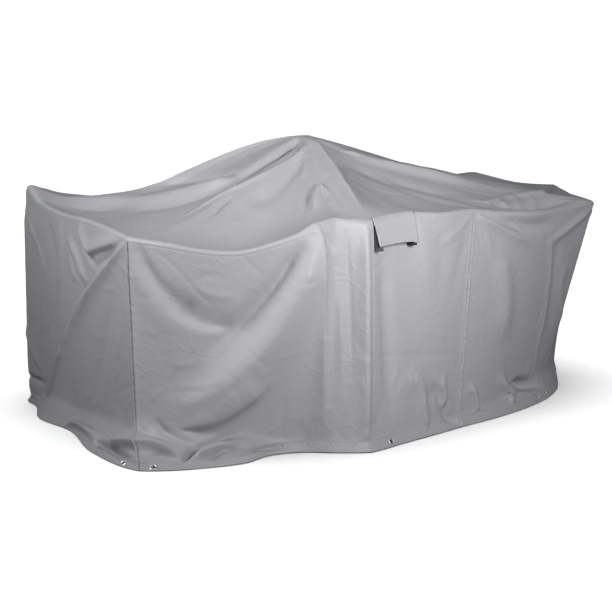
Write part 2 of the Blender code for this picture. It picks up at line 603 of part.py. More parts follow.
def build():
    for old in list(bpy.data.objects):
        bpy.data.objects.remove(old)
    parts = new_collection("patio_furniture_cover")
    cutters = new_collection("cutters")
    stations = mesh_stations()
    cells = list(enumerate(eyelet_edges(), start=1))
    top_panel(parts, stations)
    seams = [station(name) for name in SEAMS]
    starts = [seams[-1]] + seams[:-1]
    metal = eyelet_material("eyelet_metal")
    for name, start, end in zip(WALL_NAMES, starts, seams):
        wall_panel(name, parts, stations, start, end)
        end_after = end if end > start else end + SECTION_COUNT
        held = [
            (number, cell)
            for number, cell in cells
            if start < cell[0] < end_after or start < cell[0] + SECTION_COUNT < end_after
        ]
        for number, frame in hem_strip(name, parts, cutters, stations, start, end, held):
            eyelet(f"eyelet_{number:02d}", parts, metal, frame)
    vent_flap(parts, stations)
    vent_gusset(parts, stations)
    vent_prop(parts, stations)
    centre_on_floor((parts, cutters))


build()
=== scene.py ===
import json
import math

import bmesh
import bpy
import numpy as np
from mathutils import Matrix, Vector

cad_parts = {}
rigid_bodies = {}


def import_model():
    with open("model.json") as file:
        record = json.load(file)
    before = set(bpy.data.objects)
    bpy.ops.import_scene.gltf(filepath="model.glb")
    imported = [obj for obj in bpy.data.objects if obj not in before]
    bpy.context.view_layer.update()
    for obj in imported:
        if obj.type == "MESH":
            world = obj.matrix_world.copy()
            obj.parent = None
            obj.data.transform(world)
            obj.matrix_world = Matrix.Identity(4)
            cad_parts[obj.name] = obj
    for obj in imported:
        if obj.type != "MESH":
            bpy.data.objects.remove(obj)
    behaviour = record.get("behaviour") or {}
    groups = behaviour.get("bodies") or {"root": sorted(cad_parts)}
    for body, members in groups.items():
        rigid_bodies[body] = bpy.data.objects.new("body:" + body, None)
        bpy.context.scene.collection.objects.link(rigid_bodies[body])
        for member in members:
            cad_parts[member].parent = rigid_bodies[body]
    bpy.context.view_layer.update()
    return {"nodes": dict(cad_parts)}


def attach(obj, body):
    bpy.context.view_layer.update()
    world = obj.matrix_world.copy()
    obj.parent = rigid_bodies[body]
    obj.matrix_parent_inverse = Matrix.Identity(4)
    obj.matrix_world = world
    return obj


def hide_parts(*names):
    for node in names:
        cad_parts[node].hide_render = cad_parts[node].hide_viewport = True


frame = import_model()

# ---- the roof ----
# One piece of light grey coated polyester, cut to fall from a raised peak to the rim, turned down over it
# and sewn to the walls. It hangs in long creases from the peak, with a sharp ridge to the near right and
# hollows behind the rim.

# All the cloth lies on one surface. A station s runs round it, one whole number to a row of the table, and
# a level w runs down it: 0 at the peak, 1 at the rim, 2 at the wall's foot, 3 at the hem's edge.
ORIGIN = np.array([-0.12492, 0.01809, 0.00274])  # moves the table's places to the middle of the cover's box
PEAK = np.array([0.020, 0.072, 1.140])
PEAK_RADIUS = 0.030
RIM_BAND = 0.020  # the roof turns down over the rim by this much
HEM_DEPTH = 0.042
HEM_SETTLE = 0.35  # over this much of a level the folds die out towards the hem's edge
PEAK_SETTLE = 0.05  # and over this much towards the peak
# Levels, and how far round each of them a corner is rounded.
ROUNDING = ((0, 0.05, 0.9, 1.1, 1.5, 1.9, 2.0, 2.4, 3.0), (0, 0.01, 0.022, 0.022, 0.03, 0.1, 0.1, 0.1, 0))
# Each row gives, in millimetres, the rim's x y z, the foot's x y z, the hem's x y and the roof line's high
# and low sag, and then how crisp a corner it is.
RIM_SECTIONS = (
    ("far_left_corner", -1055, 520, 944, -1052, 530, 50, -1062, 575, 40, 115, 0.9),
    ("left_shoulder", -1050, 415, 893, -1045, 440, 50, -1070, 445, 45, 110, 0.3),
    ("left_dip", -1035, 210, 865, -1050, 230, 80, -1135, 215, 50, 100, 0),
    ("left_middle", -1010, -20, 862, -1035, 20, 80, -1100, -30, 50, 95, 0),
    ("left_near", -1010, -290, 853, -1025, -300, 100, -1150, -430, 50, 90, 0),
    ("near_left_corner", -1008, -470, 842, -1020, -560, 120, -1095, -775, 50, 80, 0.9),
    ("front_swag_start", -900, -605, 828, -905, -650, 120, -970, -830, 50, 80, 0),
    ("front_swag", -795, -670, 808, -790, -710, 100, -850, -850, 50, 85, 0),
    ("front_swag_low", -660, -730, 800, -660, -740, 90, -690, -850, 50, 85, 0),
    ("front_swag_rise", -520, -780, 835, -520, -755, 60, -550, -785, 50, 80, 0),
    ("front_swag_end", -390, -800, 875, -410, -780, 50, -430, -795, 40, 70, 0),
    ("front_peak", -275, -780, 905, -310, -840, 50, -310, -866, 30, 50, 0.8),
    ("front_ridge", -145, -810, 885, -190, -895, 50, -190, -920, 10, 10, 0.9),
    ("front_flap", 90, -720, 900, -10, -830, 50, -5, -852, 40, 50, 0),
    ("front_plain", 250, -700, 888, 190, -755, 50, 192, -778, 45, 60, 0),
    ("front_seam", 450, -630, 884, 345, -690, 50, 350, -715, 45, 60, 0.5),
    ("right_dip_start", 590, -600, 860, 530, -610, 60, 560, -640, 40, 40, 0),
    ("right_dip", 760, -560, 842, 740, -490, 80, 805, -525, 40, 30, 0),
    ("right_dip_rise", 960, -480, 838, 920, -385, 100, 965, -420, 40, 30, 0),
    ("near_right_corner", 1195, -410, 850, 1040, -290, 100, 1110, -280, 40, 30, 0.9),
    ("right_end", 1285, -120, 846, 1250, -40, 80, 1280, -20, 35, 45, 0),
    ("far_right_corner", 1360, 140, 856, 1355, 160, 60, 1400, 190, 35, 60, 0.8),
    ("back_right_dip", 1300, 380, 850, 1305, 390, 50, 1335, 420, 45, 65, 0),
    ("back_right_corner", 1190, 550, 885, 1195, 565, 50, 1215, 600, 40, 70, 0.8),
    ("back_dip_right", 850, 690, 850, 850, 700, 50, 860, 730, 40, 70, 0),
    ("back_high_right", 400, 840, 875, 400, 850, 50, 400, 880, 40, 60, 0.6),
    ("back_dip", 0, 830, 845, 0, 840, 50, 0, 870, 40, 60, 0),
    ("back_high_left", -380, 800, 865, -380, 810, 50, -380, 840, 35, 60, 0.6),
    ("back_dip_left", -610, 715, 860, -620, 730, 50, -625, 760, 35, 80, 0),
    ("back_left_rise", -880, 620, 895, -885, 635, 50, -890, 665, 45, 110, 0),
)
ROUND = len(RIM_SECTIONS)
sections = np.array([row[1:-1] for row in RIM_SECTIONS]) / 1000
RIM, FOOT, HEM, SAG_HIGH, SAG_LOW = np.split(sections, (3, 6, 8, 9), axis=1)
CRISP = np.array([row[-1] for row in RIM_SECTIONS])
SECTION_AT = {row[0]: float(k) for k, row in enumerate(RIM_SECTIONS)}
# Each fold is a soft ridge (height above 0) or trough. Its row gives the three places of its line, each a
# station and a level in hundredths, then in millimetres its half width at both ends and its height, then how
# sharp it is (0 rounded, 1 a crease), and for some a lean: above 0 it is wider on the left of a line that
# runs down, below 0 on the right.
ROOF_FOLDS = (
    ("left_crease", 358, 32, 140, 43, 0, 56, 16, 24, -16, 0.5, 0.3),
    ("left_crease_light", 386, 36, 180, 55, -114, 96, 30, 70, 24, 0),
    ("left_crease_low", 372, 33, 330, 51, 158, 72, 20, 50, -22, 0.2),
    ("dark_crease", 686, 2, 466, 22, 418, 55, 18, 40, -36, 0.3),
    ("thin_ridge", 1192, 10, 594, 30, 434, 74, 10, 12, 16, 0.8, 0.3),
    ("short_crease", 534, 46, 546, 54, 562, 65, 10, 10, -14, 0.5),
    ("slope_hollow", 942, 20, 778, 36, 712, 53, 25, 45, -14, 0),
    ("slope_hollow_two", 690, 39, 664, 49, 658, 62, 20, 30, -8, 0),
    ("bump_hollow", 1072, 51, 1002, 56, 968, 67, 14, 20, -6, 0.1),
    ("bump", 1116, 50, 1066, 57, 1034, 72, 10, 22, 19, 0.5, -0.3),
    ("bump_right", 1120, 52, 1144, 60, 1140, 79, 8, 14, 8, 0.4, 0.3),
    ("bump_pinch", 1116, 50, 1126, 56, 1136, 66, 8, 10, 10, 0.4),
    ("bump_wrinkle", 1134, 65, 1140, 75, 1150, 86, 10, 12, 6, 0.3),
    ("near_right_ridge", 1260, 2, 1230, 41, 1210, 92, 18, 20, 34, 0.8),
    ("back_ridge", 1706, 14, 1844, 34, 1870, 71, 30, 50, 26, 0.2),
    ("back_hollow", 1464, 28, 1620, 52, 1700, 78, 50, 70, -16, 0),
    ("rim_ridge_right", 2088, 98, 1838, 80, 1606, 89, 22, 14, 16, 0.6, 0.3),
    ("right_hollow", 1690, 87, 1768, 92, 1914, 92, 22, 40, -28, 0),
    ("ripple_a", 1754, 81, 1726, 86, 1662, 96, 7, 6, 10, 0.5),
    ("ripple_b", 1810, 81, 1772, 87, 1708, 97, 7, 6, 10, 0.5),
    ("ripple_c", 1848, 83, 1808, 90, 1756, 98, 7, 6, 10, 0.5),
    ("near_peak_a", 1702, 4, 1698, 17, 1878, 28, 10, 16, -8, 0.5),
    ("near_peak_b", 1798, 5, 1804, 21, 1930, 39, 8, 12, -5, 0.5),
    ("near_peak_c", 1448, 14, 1244, 48, 1222, 81, 16, 22, -10, 0.2),
    ("far_right_ridge", 2090, 40, 2020, 68, 2090, 95, 40, 45, 18, 0.3),
    ("back_crease_left", 2860, 8, 2820, 40, 2890, 85, 25, 45, -18, 0.2),
    ("back_crease_middle", 2560, 8, 2610, 45, 2590, 90, 25, 45, -16, 0.2),
    ("back_crease_right", 2360, 10, 2420, 45, 2400, 90, 25, 50, -18, 0.2),
)
# The walls' folds reach over the rim into the roof.
WALL_FOLDS = (
    ("swag_trough", 532, 107, 604, 129, 754, 141, 22, 45, -14, 0.1),
    ("swag_trough_crease", 576, 106, 668, 120, 770, 139, 6, 8, -3.5, 0.8),
    ("swag_concave", 628, 137, 710, 141, 796, 141, 45, 50, -18, 0.35, -0.6),
    ("swag_left_light", 524, 113, 558, 135, 662, 149, 30, 60, 6, 0),
    ("sweep_trough", 970, 109, 856, 132, 678, 163, 26, 55, -30, 0.1),
    ("long_sweep", 1024, 105, 844, 157, 512, 206, 70, 110, 54, 0.1, -0.35),
    ("corner_edge", 1028, 101, 1058, 136, 1076, 210, 16, 24, 14, 0.5, 0.4),
    ("front_ridge_line", 1195, 104, 1200, 152, 1200, 234, 26, 30, 22, 0.8, 0.3),
    ("low_sweep", 862, 173, 746, 191, 582, 209, 50, 34, 26, 0.1, 0.45),
    ("low_sweep_shadow", 562, 202, 614, 225, 692, 239, 14, 14, -22, 0.1),
    ("low_smear", 578, 182, 662, 178, 750, 173, 10, 12, -1.6, 0.3),
    ("low_smear_light", 620, 177, 702, 173, 762, 168, 10, 12, 1.6, 0.3),
    ("mid_ripple", 1000, 158, 930, 158, 862, 159, 6, 7, 2, 0.6),
    ("slope_crease_low", 796, 149, 836, 157, 884, 165, 5, 5, -3, 0.7),
    ("slope_crease", 814, 104, 842, 111, 874, 118, 5, 5, -2.5, 0.7),
    ("belly_ripple", 692, 118, 730, 114, 776, 119, 12, 14, -2, 0.3),
    ("belly_ripple_low", 680, 121, 744, 125, 798, 125, 12, 16, 3, 0.3),
    ("puff", 434, 277, 508, 246, 646, 277, 30, 26, 44, 0.3, -0.5),
    ("puff_top_shadow", 512, 210, 564, 227, 630, 238, 12, 12, -14, 0.1),
    ("puff_crease", 504, 281, 566, 267, 620, 286, 10, 10, -20, 0.4),
    ("puff_line", 628, 282, 686, 239, 798, 210, 12, 14, -34, 0.3),
    ("puff_two", 666, 272, 724, 251, 804, 244, 16, 18, 34, 0.1),
    ("puff_two_crease", 712, 279, 756, 256, 794, 286, 8, 8, -16, 0.4),
    ("foot_tuck", 788, 269, 864, 260, 982, 255, 12, 12, -14, 0.2),
    ("foot_lines", 886, 189, 872, 201, 878, 247, 18, 20, -3, 0),
    ("foot_lines_two", 938, 183, 922, 195, 924, 238, 18, 20, -3, 0),
    ("left_edge_belly", 24, 108, 0, 156, 20, 253, 100, 95, 20, 0),
    ("near_left_fold", 484, 105, 334, 135, 218, 175, 16, 34, 20, 0.5, -0.6),
    ("rim_swell", 286, 106, 306, 113, 334, 117, 22, 18, 20, 0.3, -0.6),
    ("rim_swell_near", 318, 118, 382, 111, 472, 103, 26, 22, 20, 0.3, -0.5),
    ("rim_hollow", 294, 111, 318, 119, 360, 123, 10, 14, -12, 0.2),
    ("rim_hollow_near", 352, 123, 396, 116, 466, 107, 12, 10, -7, 0.1),
    ("left_patch", 248, 114, 290, 125, 324, 136, 18, 18, 16, 0),
    ("left_upright", 208, 106, 228, 146, 212, 183, 12, 18, 14, 0.6, -0.4),
    ("left_upright_low", 218, 174, 182, 190, 104, 233, 12, 12, 16, 0.5, -0.3),
    ("left_upright_hollow", 166, 112, 182, 143, 146, 181, 22, 35, -12, 0),
    ("left_bright_streak", 250, 123, 262, 129, 278, 136, 10, 12, 10, 0.4),
    ("left_streak_a", 54, 116, 114, 126, 142, 143, 9, 12, 8, 0.5),
    ("left_streak_b", 174, 115, 190, 128, 206, 143, 7, 9, 5, 0.4),
    ("left_low_crease", 0, 170, 48, 179, 130, 188, 12, 18, 10, 0.5, -0.5),
    ("left_low_hollow", 0, 194, 64, 194, 144, 195, 12, 14, -18, 0.1),
    ("left_low_shadow", 242, 261, 350, 228, 438, 210, 50, 40, -10, 0),
    ("near_left_hollow", 416, 137, 382, 165, 356, 198, 35, 50, -6, 0),
    ("light_beside_seam", 456, 151, 420, 182, 408, 246, 30, 40, 4, 0),
    ("left_hem_wedge", 284, 298, 336, 262, 414, 268, 16, 16, 34, 0.2),
    ("left_hem_hollow", 398, 273, 450, 275, 496, 286, 12, 14, -42, 0.2),
    ("corner_pucker", 1032, 101, 1068, 109, 1112, 115, 10, 8, -5, 0.3),
    ("corner_fan", 1040, 103, 1096, 120, 1124, 141, 12, 24, -5, 0),
    ("corner_band", 1098, 108, 1116, 141, 1128, 192, 10, 16, 4, 0.4),
    ("corner_band_two", 1134, 106, 1148, 136, 1158, 182, 10, 14, -4, 0.3),
    ("beside_ridge_light", 1216, 107, 1220, 155, 1222, 224, 8, 8, 2, 0.5),
    ("right_of_ridge_hollow", 1242, 121, 1258, 157, 1276, 204, 40, 50, -18, 0),
    ("flap_fall", 1336, 105, 1356, 118, 1368, 141, 20, 45, 5, 0),
    ("flap_fall_hollow", 1398, 110, 1408, 124, 1412, 157, 30, 50, -5, 0),
    ("packing_crease_low", 1218, 165, 1308, 166, 1618, 174, 7, 7, -3.5, 0.8),
    ("seam_pull_left", 1490, 103, 1452, 110, 1394, 116, 10, 22, 5, 0.2),
    ("seam_hollow_left", 1480, 114, 1460, 129, 1436, 152, 20, 40, -4, 0),
    ("seam_pull_right", 1518, 103, 1560, 113, 1584, 126, 10, 22, 5, 0.2),
    ("low_tip", 1326, 180, 1366, 191, 1386, 244, 45, 10, 18, 0.1),
    ("low_tip_two", 1420, 181, 1438, 190, 1434, 200, 30, 10, 14, 0.1),
    ("seam_foot_hollow", 1392, 187, 1450, 204, 1502, 281, 30, 20, -14, 0),
    ("right_swag_hollow", 1618, 105, 1706, 108, 1810, 109, 26, 28, -17, 0.1),
    ("right_swag_ridge", 1526, 104, 1630, 110, 1724, 119, 14, 22, 16, 0.3, 0.4),
    ("right_swag_rise", 1890, 105, 1836, 113, 1766, 122, 14, 22, 16, 0.3, -0.4),
    ("right_tip", 1642, 102, 1672, 108, 1694, 112, 7, 7, 5, 0.5),
    ("right_tip_two", 1726, 108, 1748, 112, 1774, 117, 7, 7, 4, 0.5),
    ("right_crease", 1784, 118, 1806, 154, 1778, 207, 14, 26, 9, 0.6, 0.3),
    ("right_crease_hollow", 1814, 121, 1830, 150, 1854, 187, 30, 40, -8, 0),
    ("right_belly", 1612, 123, 1640, 147, 1636, 174, 50, 60, 18, 0),
    ("right_foot_hollow", 1682, 236, 1726, 205, 1822, 266, 22, 22, -45, 0.1),
    ("right_foot_tip", 1644, 191, 1672, 216, 1654, 278, 25, 8, 22, 0.1),
    ("right_foot_tip_two", 1536, 190, 1560, 200, 1564, 236, 20, 8, 16, 0.1),
    ("right_edge_fold", 1864, 135, 1874, 158, 1982, 191, 16, 18, 5, 0.3),
    ("right_end_fold", 2000, 110, 2020, 150, 2040, 200, 50, 69, -42, 0),
    ("right_end_fan", 2100, 104, 2060, 135, 1980, 175, 20, 50, 24, 0.2),
    ("far_right_fan", 2110, 104, 2160, 130, 2230, 165, 20, 50, 22, 0.2),
    ("back_right_hollow", 2200, 110, 2210, 145, 2220, 190, 40, 60, -30, 0),
    ("back_fall_right", 2430, 108, 2440, 150, 2420, 195, 60, 92, -57, 0),
    ("back_right_fan", 2310, 103, 2350, 130, 2410, 170, 20, 60, 30, 0.2),
    ("back_high_fan", 2495, 103, 2470, 135, 2420, 180, 20, 55, 28, 0.2),
    ("back_fall_middle", 2620, 108, 2600, 150, 2620, 195, 60, 92, -49, 0),
    ("back_drape", 2700, 103, 2660, 130, 2580, 175, 20, 60, 34, 0.2),
    ("back_drape_right", 2505, 103, 2540, 130, 2600, 165, 20, 50, 26, 0.2),
    ("back_fall_left", 2840, 110, 2830, 150, 2850, 195, 60, 92, -46, 0),
    ("back_left_fan", 2990, 104, 2940, 135, 2880, 180, 20, 60, 28, 0.2),
    ("back_left_drape", 2710, 103, 2750, 135, 2810, 175, 20, 50, 26, 0.2),
    ("back_foot_tuck", 2520, 250, 2580, 230, 2660, 220, 22, 22, -16, 0.1),
    ("back_foot_tuck_left", 2760, 230, 2820, 220, 2890, 240, 22, 22, -16, 0.1),
)
CREASES = 280  # small handling creases, strewn over the whole cover
CREASE_SEED = 11
CREASE_LENGTH = (0.05, 0.22)
CREASE_WIDTH = (0.006, 0.015)
CREASE_HEIGHT = 0.0030
CREASE_LEVELS = ((0.25, 0.95), (1.06, 1.95), (1.1, 2.3))  # a crease starts in one of these bands
STATION_LENGTH = 0.24  # about the length from one station to the next
LEVEL_LENGTH = 0.9
NORMAL_REACH = (0.1, 0.02)  # stations and levels to either side
FOLD_STEPS = 14
FOLD_REACH = 3.2  # in half widths
ROOF_STATION_STEP = 0.0085
SEAMS = ("near_left_corner", "front_seam", "back_right_corner", "back_left_rise")
SEAM_STEPS = (0.0015, 0.0035, 0.0065, 0.0105)  # mesh lines either side of a seam
SEAM_DIP = (0.0010, 0.0028)  # its depth and half width
SEAM_WELT = (0.0006, 0.005, 0.008)  # its height, half width and distance from the stitched line
# Stations, and how strong the rim's seam is at each.
RIM_SEAM = ((0, 4.6, 5.4, 10.6, 11.4, ROUND), (0.25, 0.25, 0.6, 0.6, 0.3, 0.25))


def unit(vectors):
    """Each vector over its length."""
    return vectors / (np.linalg.norm(vectors, axis=-1, keepdims=True) + 1e-12)


def around(points, crisp, s):
    """Closed curve through a point a section: cubic Hermite, along the chords where crisp is 1."""
    i = np.floor(s).astype(int) % ROUND
    j = (i + 1) % ROUND
    f = (s - np.floor(s))[..., None]
    ahead = np.roll(points, -1, axis=0) - points
    behind = points - np.roll(points, 1, axis=0)
    step_ahead = np.linalg.norm(ahead, axis=1, keepdims=True)
    step_behind = np.linalg.norm(behind, axis=1, keepdims=True)
    slope = step_ahead * behind / step_behind + step_behind * ahead / step_ahead
    slope = slope / (step_ahead + step_behind)
    chord = points[j] - points[i]
    start = (1 - crisp[i][..., None]) * slope[i] * step_ahead[i] + crisp[i][..., None] * chord
    end = (1 - crisp[j][..., None]) * slope[j] * step_ahead[i] + crisp[j][..., None] * chord
    return (
        (2 * f**3 - 3 * f**2 + 1) * points[i]
        + (f**3 - 2 * f**2 + f) * start
        + (3 * f**2 - 2 * f**3) * points[j]
        + (f**3 - f**2) * end
    )


def eased(values, s):
    """One number a section, eased from each section to the next by f*f*(3 - 2f)."""
    i = np.floor(s).astype(int) % ROUND
    f = s - np.floor(s)
    f = f * f * (3 - 2 * f)
    return values[i] * (1 - f) + values[(i + 1) % ROUND] * f


def guides(s):
    """The rim, foot and hem points and the two sags of each station."""
    rim, foot, hem = around(RIM, CRISP, s), around(FOOT, CRISP, s), around(HEM, 0.5 * CRISP, s)
    return rim, foot, hem, eased(SAG_HIGH[:, 0], s), eased(SAG_LOW[:, 0], s)


def profile(lines, w):
    """The hanging line of one station: a sag from the peak to the rim, straight to the foot, out to the hem.

    The sag is a cubic, sag_high a third of the way down and sag_low two thirds down.
    """
    rim, foot, hem, sag_high, sag_low = lines
    outward = unit(rim[..., :2] - PEAK[:2])
    start = np.concatenate([PEAK[:2] + PEAK_RADIUS * outward, np.full(w.shape + (1,), PEAK[2])], axis=-1)
    r = np.clip(w, 0, 1)
    top = start + (rim - start) * r[..., None]
    top[..., 2] -= 13.5 * r * (1 - r) * ((2 / 3 - r) * sag_high + (r - 1 / 3) * sag_low)
    wall = rim + (foot - rim) * np.clip(w - 1, 0, 1)[..., None]
    out = np.clip(w - 2, 0, 1)[..., None]
    run = np.concatenate([foot[..., :2] + (hem - foot[..., :2]) * out, foot[..., 2:] * (1 - out)], axis=-1)
    return np.where((w <= 1)[..., None], top, np.where((w <= 2)[..., None], wall, run))


def resting(s, w):
    """The profile with its corners rounded: the mean of five levels close together, in the frame's place."""
    lines = guides(s)
    reach = np.interp(w, *ROUNDING)
    return sum(profile(lines, w + k * reach / 2) for k in (-2, -1, 0, 1, 2)) / 5 + ORIGIN


def normals_of(s, w):
    """Outward unit normals of the resting surface, from differences about as wide as a hand."""
    ds, dw = NORMAL_REACH
    down = resting(s, np.clip(w + dw, 0, 3)) - resting(s, np.clip(w - dw, 0, 3))
    along = resting(s + ds, w) - resting(s - ds, w)
    return unit(np.cross(down, along))


def lift_of(fold, points):
    """How far a fold lifts each point: its height times its cross section at the point's distance.

    The line is a parabola through the three places. With x the distance over the half width, the section is
    exp(-x*x), mixed by edge with exp(-1.4 sqrt(x*x + 0.02)). Along its line it starts at 0.4 of its height,
    has all of it after 0.15 of the way and dies out over the last 0.35.
    """
    s0, w0, s1, w1, s2, w2, start_width, end_width, height, edge, lean = fold
    t = np.linspace(0, 1, FOLD_STEPS)
    first, second, third = (1 - t) * (1 - 2 * t), 4 * t * (1 - t), t * (2 * t - 1)
    s = first * s0 + second * s1 + third * s2
    w = np.clip(first * w0 + second * w1 + third * w2, 0, 3)
    line = resting(s, w)
    out = normals_of(s, w)
    reach = FOLD_REACH * max(start_width, end_width)
    near = np.all((points > line.min(0) - reach) & (points < line.max(0) + reach), axis=-1)
    lifts = np.zeros(points.shape[:-1])
    spots = points[near]
    if not len(spots):
        return lifts
    nearest = np.full(len(spots), 1e9)
    place = np.zeros(len(spots))
    side = np.zeros(len(spots))
    for k in range(len(line) - 1):
        step = line[k + 1] - line[k]
        f = np.clip(((spots - line[k]) @ step) / (step @ step), 0, 1)
        offset = spots - line[k] - f[:, None] * step
        distance = np.linalg.norm(offset, axis=-1)
        closer = distance < nearest
        nearest = np.where(closer, distance, nearest)
        place = np.where(closer, t[k] + f * (t[k + 1] - t[k]), place)
        aside = offset @ unit(np.cross(step, out[k])) / (distance + 1e-6)
        side = np.where(closer, np.clip(aside, -1, 1), side)
    width = (start_width + (end_width - start_width) * place) * (1 + lean * side)
    x = nearest / width
    across = (1 - edge) * np.exp(-(x**2)) + edge * np.exp(-1.4 * np.sqrt(x**2 + 0.02))
    fade_in = np.clip(place / 0.15, 0, 1)
    fade_out = np.clip((1 - place) / 0.35, 0, 1)
    lifts[near] = height * across * (0.4 + 0.6 * fade_in) * fade_out * fade_out * (3 - 2 * fade_out)
    return lifts


def handling_creases():
    """Short creases at random places and angles, each a slightly bent line of three places."""
    chance = np.random.RandomState(CREASE_SEED)
    found = []
    for _ in range(CREASES):
        s = chance.uniform(0, ROUND)
        w = chance.choice([chance.uniform(*band) for band in CREASE_LEVELS])
        turn = chance.uniform(0, math.pi)
        length = chance.uniform(*CREASE_LENGTH)
        along = length * math.cos(turn) / STATION_LENGTH / max(0.35, min(w, 1))
        down = length * math.sin(turn) / LEVEL_LENGTH
        bend = chance.uniform(-0.2, 0.2) * length
        width = chance.uniform(*CREASE_WIDTH)
        height = CREASE_HEIGHT * chance.choice((-1, 1)) * chance.uniform(0.35, 1)
        middle = (s + along / 2 - bend, w + down / 2 + bend * 0.5)
        found.append((s, w, *middle, s + along, w + down, width, width, height, 0.5, 0.0))
    return found


def placed_folds():
    """The tables' folds in whole stations, levels and metres, with a lean of 0 where none is given."""
    for _, *row in ROOF_FOLDS + WALL_FOLDS:
        places, sizes = (n / 100 for n in row[:6]), (n / 1000 for n in row[6:9])
        yield (*places, *sizes, *row[9:], 0.0)[:11]


ALL_FOLDS = [*placed_folds(), *handling_creases()]
LEVELS = np.linspace(0, 3, 601)


def lengths_down(s):
    """Length down each station's cloth from the peak to each of LEVELS: the running sum of the steps."""
    grid_s, grid_w = np.meshgrid(s, LEVELS)
    steps = np.linalg.norm(np.diff(resting(grid_s, grid_w), axis=0), axis=-1)
    return np.vstack([np.zeros((1, len(s))), np.cumsum(steps, axis=0)])


def length_to(level, down):
    """Length from the peak to a level at each station, read off the stations' lengths down."""
    return np.array([np.interp(level, LEVELS, column) for column in down.T])


def levels_at(lengths, down):
    """The level at each length from the peak: the stations' lengths down, read backwards."""
    return np.array([np.interp(length, column, LEVELS) for length, column in zip(lengths.T, down.T)]).T


def ring_lengths(s, w=2.8):
    """Length round the cover at one level, from the first station: the running sum of the steps."""
    points = resting(s, np.full(s.shape, w))
    return np.concatenate([[0], np.cumsum(np.linalg.norm(np.diff(points, axis=0), axis=-1))])


FINE = np.linspace(-1, ROUND + 1, 9001)  # stations close together, and the length round to each
FINE_LENGTH = ring_lengths(FINE)


def spaced_stations(start, end, step):
    """Stations from start to end, evenly spaced along the hem, closer at both ends, where the seams are."""
    a, b = np.interp((start, end), FINE, FINE_LENGTH)
    first, last = a + SEAM_STEPS[-1], b - SEAM_STEPS[-1]
    inner = np.linspace(first, last, max(2, int(round((last - first) / step))) + 1)
    closer = np.array((0,) + SEAM_STEPS[:-1])
    return np.interp(np.concatenate([a + closer, inner, (b - closer)[::-1]]), FINE_LENGTH, FINE)


def wall_span(number):
    """The stations at which a wall starts and ends. The first wall starts before station 0."""
    ends = [SECTION_AT[name] for name in SEAMS]
    return (ends[-1] - ROUND, ends[0]) if number == 0 else (ends[number - 1], ends[number])


def seam_relief(distance):
    """The dip of a seam's stitched line and the welt of its allowance, both bells of the distance."""
    depth, dip_width = SEAM_DIP
    height, welt_width, beside = SEAM_WELT
    dip = -depth * np.exp(-((distance / dip_width) ** 2))
    return dip + height * np.exp(-(((distance - beside) / welt_width) ** 2))


def rim_seam_strength(s):
    """How strong the rim's seam is at each station: most along the front swag, nearly flat elsewhere."""
    return np.interp(s % ROUND, *RIM_SEAM)


def draped(s, w):
    """The resting surface's points and normals, and the sum of all the folds' lifts along them."""
    s = np.broadcast_to(s, w.shape)
    points = resting(s, w)
    lift = sum(lift_of(fold, points) for fold in ALL_FOLDS)
    settle = np.clip((3 - w) / HEM_SETTLE, 0, 1) * np.clip(w / PEAK_SETTLE, 0, 1)
    return points, normals_of(s, w), lift * settle


def flat_map(round_length, lengths):
    """The cloth's own flat places: the length round and the length down, in metres."""
    return np.stack([np.broadcast_to(round_length, lengths.shape), lengths], -1)


def laid_out(name, mesh):
    """The mesh's smooth object, at the origin of the scene."""
    mesh.shade_smooth()
    piece = bpy.data.objects.new(name, mesh)
    bpy.context.scene.collection.objects.link(piece)
    return piece


def cloth_mesh(name, points, flat, ring=False, keep=None):
    """A surface through a grid of points, with the flat cloth's own lengths as its UV map, in metres.

    A ring's last column is joined to its first, and its first row closed. keep says which face middles stay.
    """
    rows, columns = points.shape[:2]
    i, j = np.meshgrid(np.arange(rows - 1), np.arange(columns if ring else columns - 1), indexing="ij")
    i, j = i.ravel(), j.ravel()
    k = (j + 1) % columns
    faces = np.stack([i * columns + j, (i + 1) * columns + j, (i + 1) * columns + k, i * columns + k], -1)
    corner_flat = np.stack([flat[i, j], flat[i + 1, j], flat[i + 1, k], flat[i, k]], 1)
    if ring:
        turn = np.where(j + 1 == columns, flat[0, -1, 0] + (flat[0, 1, 0] - flat[0, 0, 0]), 0)
        corner_flat[:, 2:, 0] = np.where(turn[:, None] > 0, turn[:, None], corner_flat[:, 2:, 0])
    if keep is not None:
        chosen = keep(points.reshape(-1, 3)[faces].mean(axis=1))
        faces, corner_flat = faces[chosen], corner_flat[chosen]
    used, places = np.unique(faces, return_inverse=True)
    vertices = points.reshape(-1, 3)[used]
    faces = places.reshape(faces.shape)
    cap = []
    if ring:
        pole = len(vertices)
        vertices = np.vstack([vertices, points[0].mean(axis=0)])
        cap = [(pole, int(a), int(b)) for a, b in zip(range(columns), list(range(1, columns)) + [0])]
    mesh = bpy.data.meshes.new(name)
    mesh.from_pydata(vertices.tolist(), [], faces.tolist() + cap)
    layer = mesh.uv_layers.new(name="flat")
    uv = np.zeros((len(mesh.loops), 2))
    uv[: corner_flat.shape[0] * 4] = corner_flat.reshape(-1, 2)
    layer.data.foreach_set("uv", uv.ravel())
    return laid_out(name, mesh)


